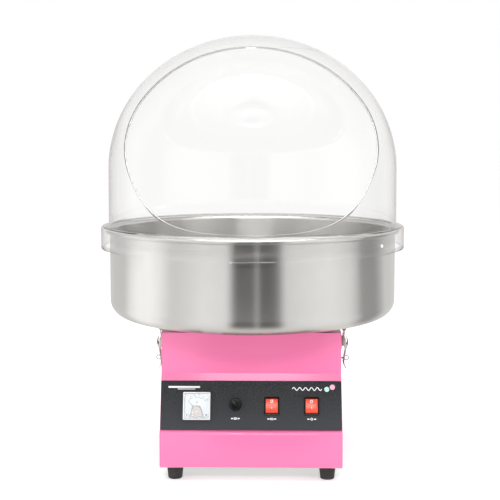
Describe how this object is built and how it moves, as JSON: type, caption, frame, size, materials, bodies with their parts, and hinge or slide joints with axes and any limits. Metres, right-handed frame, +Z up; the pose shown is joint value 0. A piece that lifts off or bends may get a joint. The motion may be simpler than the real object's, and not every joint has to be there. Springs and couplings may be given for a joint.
{
  "type": "cotton candy machine",
  "caption": "Counter-top candy floss maker: painted steel base with a sloping control panel, round spun-metal bowl, spinner head, side draw latches and a clear lift-off dome with a front mouth.",
  "frame": {"origin": "on the surface the feet stand on, under the spinner's axis", "axes": "+Z up along the spinner's axis, -Y the front with the control panel and the dome's mouth, +X to the right seen from the front"},
  "size_m": [0.552, 0.552, 0.767],
  "materials": {
    "pink_paint": "semi-gloss powder coat",
    "panel_black": "fine-textured printed overlay",
    "black_plastic": "satin moulded",
    "gloss_black_plastic": "gloss moulded",
    "black_rubber": "matte",
    "brushed_steel": "circumferential brush marks",
    "plated_steel": "bright nickel plate",
    "zinc_sheet": "zinc-plated sheet",
    "cast_aluminium": "fine-turned",
    "dark_casting": "black satin paint",
    "motor_steel": "grey enamel",
    "heater_alloy": "heat-darkened",
    "brass": "turned",
    "phenolic": "phenolic resin",
    "white_plastic": "moulded",
    "dial_card": "printed scale card",
    "ivory_plastic": "moulded",
    "red_rocker": "translucent moulded",
    "clear_plastic": "clear polycarbonate",
    "fuse_glass": "glass tube with metal caps"
  },
  "bodies": {
    "root": {"bottom_plate": "zinc_sheet", "bowl": "brushed_steel", "bowl_gasket": "black_rubber", "brush_holder": "phenolic", "control_panel": "panel_black", "deck_collar": "dark_casting", "foot_front_left": "black_rubber", "foot_front_right": "black_rubber", "foot_rear_left": "black_rubber", "foot_rear_right": "black_rubber", "front_fascia": "pink_paint", "fuse_holder": "black_plastic", "fuse_nut": "black_plastic", "heat_switch_body": "gloss_black_plastic", "latch_left_catch": "plated_steel", "latch_left_eye": "plated_steel", "latch_left_pin": "plated_steel", "latch_left_plate": "plated_steel", "latch_right_catch": "plated_steel", "latch_right_eye": "plated_steel", "latch_right_pin": "plated_steel", "latch_right_plate": "plated_steel", "meter_case": "white_plastic", "meter_cover": "white_plastic", "meter_dial": "dial_card", "meter_lens": "clear_plastic", "motor_body": "motor_steel", "motor_bracket": "zinc_sheet", "power_inlet": "black_plastic", "power_switch_body": "gloss_black_plastic", "rear_cover": "pink_paint", "rear_screw_1": "plated_steel", "rear_screw_2": "plated_steel", "rear_screw_3": "plated_steel", "rear_screw_4": "plated_steel", "side_panel_left": "pink_paint", "side_panel_right": "pink_paint", "terminal_block": "ivory_plastic", "top_deck": "pink_paint"},
    "spinner": {"motor_shaft": "plated_steel", "motor_fan": "black_plastic", "slip_rings": "brass", "head_base": "cast_aluminium", "head_band": "brushed_steel", "head_cover": "cast_aluminium", "heater_ring": "heater_alloy", "head_nut": "plated_steel"},
    "heat_rocker": {"heat_switch_rocker": "red_rocker"},
    "power_rocker": {"power_switch_rocker": "red_rocker"},
    "fuse_link": {"fuse_cartridge": "fuse_glass"},
    "fuse_cap": {"fuse_cap": "gloss_black_plastic"},
    "meter_pointer": {"meter_needle": "gloss_black_plastic"},
    "dome": {"dome": "clear_plastic", "dome_stud": "clear_plastic"},
    "latch_left_lever": {"latch_left_lever": "plated_steel"},
    "latch_left_bail": {"latch_left_bail": "plated_steel"},
    "latch_right_lever": {"latch_right_lever": "plated_steel"},
    "latch_right_bail": {"latch_right_bail": "plated_steel"}
  },
  "joints": [
    {"name": "spinner_turn", "type": "hinge", "parent": "root", "child": "spinner", "pos_m": [0, 0, 0.3], "axis": [0, 0, 1], "continuous": true},
    {"name": "heat_switch", "type": "hinge", "parent": "root", "child": "heat_rocker", "pos_m": [0.035, -0.15819, 0.1259], "axis": [1, 0, 0], "range_deg": [0, 18]},
    {"name": "power_switch", "type": "hinge", "parent": "root", "child": "power_rocker", "pos_m": [0.1025, -0.15819, 0.1259], "axis": [1, 0, 0], "range_deg": [0, 18]},
    {"name": "fuse_pull", "type": "slide", "parent": "root", "child": "fuse_link", "axis": [0, -0.9568, 0.2907], "range_m": [0, 0.045]},
    {"name": "fuse_cap_turn", "type": "hinge", "parent": "fuse_link", "child": "fuse_cap", "pos_m": [-0.0265, -0.17105, 0.13242], "axis": [0, -0.9568, 0.2907], "range_deg": [0, 75]},
    {"name": "meter_swing", "type": "hinge", "parent": "root", "child": "meter_pointer", "pos_m": [-0.092, -0.16766, 0.12052], "axis": [0, 0.9568, -0.2907], "range_deg": [0, 87], "stiffness_Nm_per_rad": 0.00002},
    {"name": "dome_lift", "type": "slide", "parent": "root", "child": "dome", "axis": [0, 0, 1], "range_m": [0, 0.1]},
    {"name": "latch_left_open", "type": "hinge", "parent": "root", "child": "latch_left_lever", "pos_m": [-0.1686, 0, 0.2105], "axis": [0, 1, 0], "range_deg": [0, 75]},
    {"name": "latch_left_bail_swing", "type": "hinge", "parent": "latch_left_lever", "child": "latch_left_bail", "pos_m": [-0.1674, 0, 0.2011], "axis": [0, 1, 0], "range_deg": [-54, 0]},
    {"name": "latch_right_open", "type": "hinge", "parent": "root", "child": "latch_right_lever", "pos_m": [0.1686, 0, 0.2105], "axis": [0, -1, 0], "range_deg": [0, 75]},
    {"name": "latch_right_bail_swing", "type": "hinge", "parent": "latch_right_lever", "child": "latch_right_bail", "pos_m": [0.1674, 0, 0.2011], "axis": [0, -1, 0], "range_deg": [-54, 0]}
  ],
  "couplings": [
    {"joint": "latch_left_bail_swing", "follows": "latch_left_open", "ratio": -0.716},
    {"joint": "latch_right_bail_swing", "follows": "latch_right_open", "ratio": -0.716}
  ]
}
